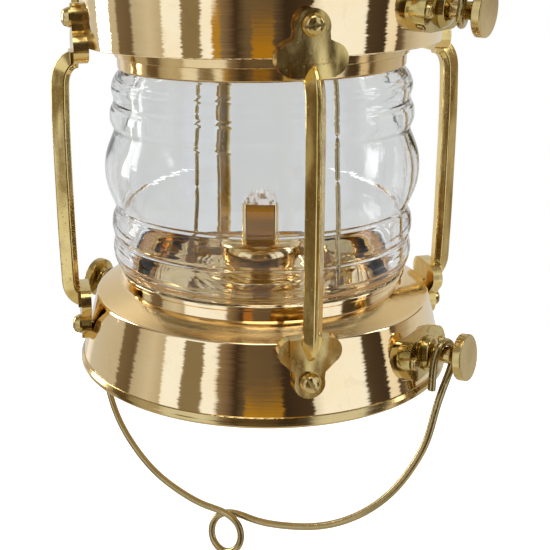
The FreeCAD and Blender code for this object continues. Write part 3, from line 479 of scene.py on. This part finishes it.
def studio():
    """The light all round: white behind the lantern, pale soft boxes and darker gaps on the other sides."""
    world = bpy.data.worlds.new("studio")
    bpy.context.scene.world = world
    world.use_nodes = True
    s = Shader(world.node_tree)
    way = s.add("ShaderNodeTexCoord").outputs["Generated"]
    sin_a, cos_a = math.sin(VIEW_AZIMUTH), math.cos(VIEW_AZIMUTH)
    toward = s.vec("DOT_PRODUCT", way, (sin_a, -cos_a, 0.0))
    right = s.vec("DOT_PRODUCT", way, (cos_a, sin_a, 0.0))
    up = s.vec("DOT_PRODUCT", way, (0.0, 0.0, 1.0))
    turn = s.math("DIVIDE", s.math("ARCTAN2", right, toward), math.pi / 180.0)
    rise = s.math("DIVIDE", s.math("ARCSINE", up), math.pi / 180.0)

    cream = (1.03, 1.12, 1.30)
    pale = (0.70, 0.70, 0.69)
    bands = [  # degrees from the camera's side, colour
        (-150, pale), (-146, (1.0, 1.0, 1.0)), (-139, (0.95, 0.95, 0.94)),
        (-134, (0.62, 0.61, 0.58)), (-100, (0.58, 0.55, 0.49)),
        (-99, (0.20, 0.155, 0.105)), (-86, (0.15, 0.110, 0.070)),
        (-85, (0.50, 0.475, 0.42)), (-72, (0.66, 0.64, 0.58)), (-63, (0.54, 0.50, 0.42)), (-62.2, cream),
        (-27, cream), (-26.2, (0.30, 0.235, 0.16)), (-19, (0.17, 0.12, 0.08)),
        (-14.5, (0.045, 0.030, 0.020)), (-8, (0.15, 0.11, 0.07)), (7, (0.13, 0.095, 0.062)),
        (15, (0.040, 0.027, 0.018)), (31, (0.070, 0.048, 0.032)), (32, (0.80, 0.84, 0.90)), (38, cream),
        (66, cream), (66.8, (0.085, 0.060, 0.038)), (82, (0.05, 0.035, 0.024)),
        (83, (0.95, 0.93, 0.90)), (90, (0.90, 0.88, 0.84)), (91, (0.10, 0.070, 0.045)),
        (96, (0.16, 0.12, 0.08)), (100, (0.50, 0.47, 0.42)), (118, pale),
    ]
    ramp = s.add("ShaderNodeValToRGB")
    s.put(ramp.inputs[0], s.range(turn, -180.0, 180.0))
    stops = ramp.color_ramp.elements
    while len(stops) > 1:
        stops.remove(stops[-1])
    stops[0].position = (bands[0][0] + 180.0) / 360.0
    stops[0].color = rgb(*bands[0][1])
    for degrees, colour in bands[1:]:
        made = stops.new((degrees + 180.0) / 360.0)
        made.color = rgb(*colour)
    room = ramp.outputs[0]

    def patch(base, a0, a1, e0, e1, colour, soft=0.6):
        inside = s.math("MULTIPLY",
                        s.math("MULTIPLY", s.range(turn, a0 - soft, a0 + soft),
                               s.range(turn, a1 - soft, a1 + soft, 1.0, 0.0)),
                        s.math("MULTIPLY", s.range(rise, e0 - soft, e0 + soft),
                               s.range(rise, e1 - soft, e1 + soft, 1.0, 0.0)))
        return s.mix(inside, base, rgb(*colour))

    room = patch(room, 97, 133, -5, 12, (0.34, 0.245, 0.135), 2.0)
    room = patch(room, -49, -36, -15, 14, (0.26, 0.215, 0.140), 0.6)
    room = patch(room, -9, 13, 0.6, 3.4, (0.46, 0.255, 0.02), 0.8)
    room = patch(room, -5, 8, -14.5, -11.4, (0.42, 0.22, 0.015), 0.8)
    room = patch(room, -29, -24, -14, -10, (0.46, 0.27, 0.03), 0.6)
    room = patch(room, 16, 30, -23, -17, (0.48, 0.27, 0.03), 1.0)
    room = patch(room, -13, -6, -24, -17, (0.40, 0.16, 0.04), 1.0)
    room = patch(room, -180, 180, 48, 91, (0.32, 0.30, 0.27), 9.0)
    room = patch(room, -180, 180, -91, -33, (0.72, 0.69, 0.62), 3.0)
    # what is seen through the glass: an even pale surround, a little greyer straight behind
    behind = s.range(s.math("ABSOLUTE", turn), 125.0, 160.0, smooth=True)
    around = s.mix(behind, rgb(0.745, 0.755, 0.755), rgb(0.665, 0.675, 0.670))
    around = s.mix(s.range(rise, 24.0, 52.0, smooth=True), around, rgb(0.36, 0.34, 0.31))
    around = s.mix(s.range(rise, -34.0, -52.0, smooth=True), around, rgb(0.50, 0.49, 0.47))
    around = s.mix(s.range(s.math("ABSOLUTE", turn), 72.0, 104.0, smooth=True), room, around)
    ray = s.add("ShaderNodeLightPath")
    room = s.mix(ray.outputs["Is Transmission Ray"], room, around)
    room = s.mix(ray.outputs["Is Camera Ray"], room, rgb(1.0, 1.0, 1.0))
    glow = s.add("ShaderNodeBackground")
    s.put(glow.inputs["Color"], room)
    glow.inputs["Strength"].default_value = 1.0
    s.finish(glow, "ShaderNodeOutputWorld")


def soft_box(name, azimuth, elevation, distance, wide, tall, radiance):
    """A rectangular lamp facing the lantern. azimuth is counted from the camera's side, to the right."""
    data = bpy.data.lights.new(name, "AREA")
    data.shape = "RECTANGLE"
    data.size, data.size_y = wide, tall
    data.energy = radiance * math.pi * wide * tall
    made = bpy.data.objects.new(name, data)
    bpy.context.scene.collection.objects.link(made)
    a, e = VIEW_AZIMUTH + math.radians(azimuth), math.radians(elevation)
    back = Vector((math.sin(a) * math.cos(e), -math.cos(a) * math.cos(e), math.sin(e)))
    target = Vector((0.0, 0.0, height(85.0)))
    made.location = target + back * distance
    made.rotation_mode = "QUATERNION"
    made.rotation_quaternion = back.to_track_quat("Z", "Y")
    made.visible_camera = False
    return made


studio()
soft_box("key_light", -112.0, 14.0, 1.3, 0.36, 1.0, 7.5)
soft_box("side_light", 87.0, 22.0, 1.3, 0.12, 0.8, 4.5)
soft_box("top_light", 20.0, 74.0, 1.2, 0.7, 0.7, 2.2)

# a pale disc of floor well below the hanging lantern
FLOOR_Z = height(-205.0)
FLOOR_R = 0.62
FLOOR_SIDES = 96
ring = []
for k in range(FLOOR_SIDES):
    turn = 2 * math.pi * k / FLOOR_SIDES
    ring.append((FLOOR_R * math.cos(turn), FLOOR_R * math.sin(turn), FLOOR_Z))
floor_mesh = bpy.data.meshes.new("floor")
floor_mesh.from_pydata(ring, [], [list(range(FLOOR_SIDES))])
floor = bpy.data.objects.new("floor", floor_mesh)
bpy.context.scene.collection.objects.link(floor)
floor_paint, s = new_material("floor_paint")
grain = s.noise(s.add("ShaderNodeTexCoord").outputs["Object"], 14.0, 3.0)
base = s.add("ShaderNodeBsdfPrincipled")
s.put(base.inputs["Base Color"], s.mix(grain, rgb(0.86, 0.86, 0.86), rgb(0.90, 0.90, 0.90)))
base.inputs["Roughness"].default_value = 0.9
base.inputs["Emission Color"].default_value = rgb(1.0, 1.0, 1.0)
base.inputs["Emission Strength"].default_value = 0.75
s.finish(base)
floor_mesh.materials.append(floor_paint)
floor.visible_glossy = False

# ---------------------------------------------------------------- camera

CAMERA_DISTANCE = 0.4523
CAMERA_Z = height(186.1)
PITCH, YAW, ROLL = math.radians(15.66), math.radians(-4.93), math.radians(-1.36)
eye = Vector((0.0, -CAMERA_DISTANCE, CAMERA_Z))
ahead = Vector((math.sin(YAW) * math.cos(PITCH), math.cos(YAW) * math.cos(PITCH), -math.sin(PITCH)))
level = Vector((math.cos(YAW), -math.sin(YAW), 0.0))
upright = level.cross(ahead)
side = level * math.cos(ROLL) + upright * math.sin(ROLL)
top = upright * math.cos(ROLL) - level * math.sin(ROLL)
stand = Matrix((
    (side.x, top.x, -ahead.x, eye.x),
    (side.y, top.y, -ahead.y, eye.y),
    (side.z, top.z, -ahead.z, eye.z),
    (0.0, 0.0, 0.0, 1.0),
))
camera_data = bpy.data.cameras.new("camera")
camera_data.sensor_width = 36.0
camera_data.lens = 67.23
camera_data.shift_x = 0.1818
camera_data.shift_y = -0.0855
camera_data.clip_start = 0.02
camera_data.clip_end = 50.0
camera = bpy.data.objects.new("camera", camera_data)
bpy.context.scene.collection.objects.link(camera)
camera.matrix_world = Matrix.Rotation(VIEW_AZIMUTH, 4, "Z") @ stand
bpy.context.scene.camera = camera
bpy.context.scene.view_settings.view_transform = "Standard"
